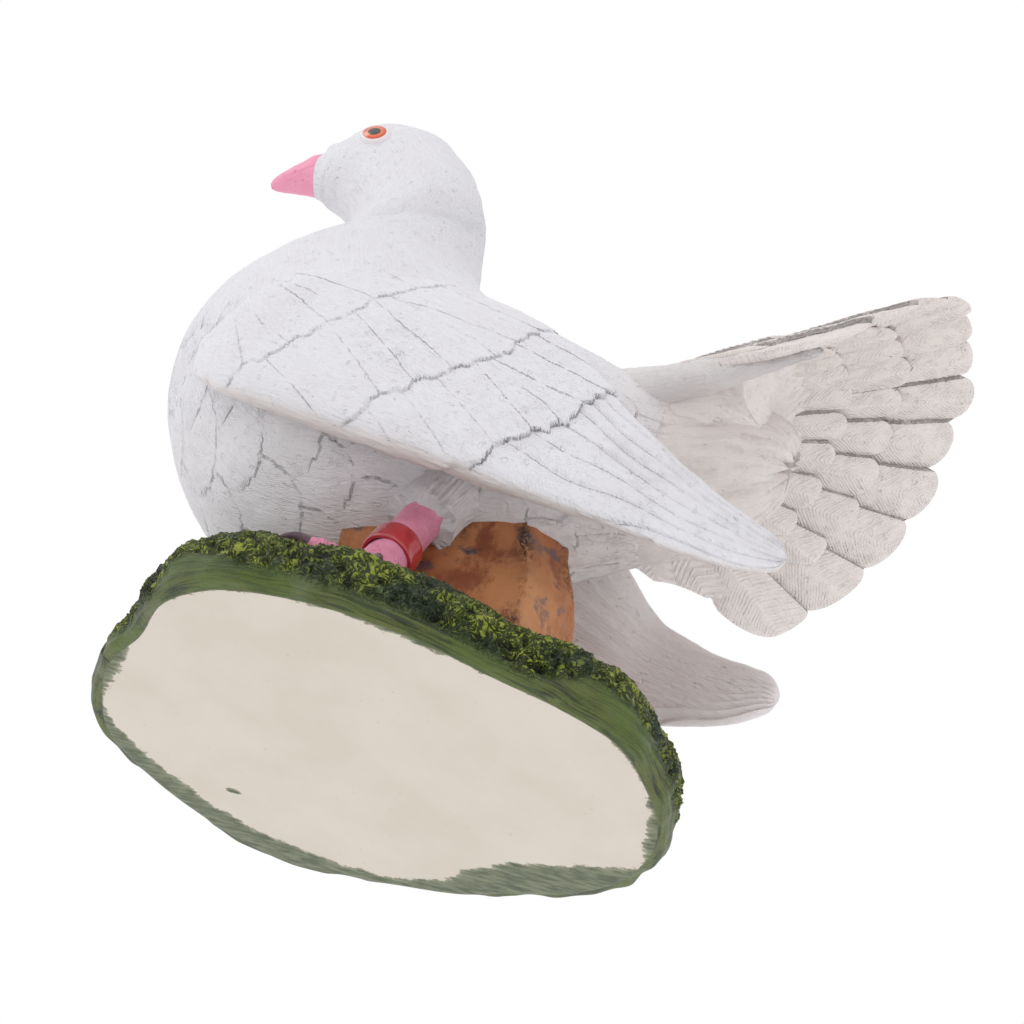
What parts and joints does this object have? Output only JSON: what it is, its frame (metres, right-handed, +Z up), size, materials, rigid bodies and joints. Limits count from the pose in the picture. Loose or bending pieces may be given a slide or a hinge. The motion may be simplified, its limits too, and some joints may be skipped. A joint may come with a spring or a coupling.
{
  "type": "garden bird figurine",
  "caption": "Life-size painted cast-resin fantail pigeon with a raised spread tail, folded wings and a red leg band, standing over a rock on a mossy oval base",
  "frame": {"origin": "on the flat underside of the base, under its middle", "axes": "+X is the bird's left, -Y is the way it faces, +Z is up"},
  "size_m": [0.1754, 0.277, 0.2708],
  "materials": {
    "plumage_white": "matte painted cast resin, cool white",
    "plumage_shade": "matte painted cast resin, warm white",
    "moss_green": "satin painted cast resin, mottled moss green, bare cream underside",
    "rock_brown": "matte painted cast resin, orange brown",
    "beak_pink": "satin painted cast resin",
    "leg_pink": "satin painted cast resin",
    "eye_orange": "gloss painted cast resin",
    "ring_red": "gloss",
    "wire_steel": "plain drawn wire"
  },
  "bodies": {
    "root": {"base": "moss_green", "rock": "rock_brown", "body": "plumage_white", "undertail": "plumage_shade", "tail_fan": "plumage_shade", "left_wing": "plumage_white", "right_wing": "plumage_white", "beak": "beak_pink", "left_eye": "eye_orange", "right_eye": "eye_orange", "left_thigh": "plumage_white", "right_thigh": "plumage_white", "left_leg": "leg_pink", "right_leg": "leg_pink", "left_foot": "leg_pink", "right_foot": "leg_pink", "leg_ring": "ring_red", "left_leg_rod": "wire_steel", "right_leg_rod": "wire_steel"}
  },
  "joints": []
}
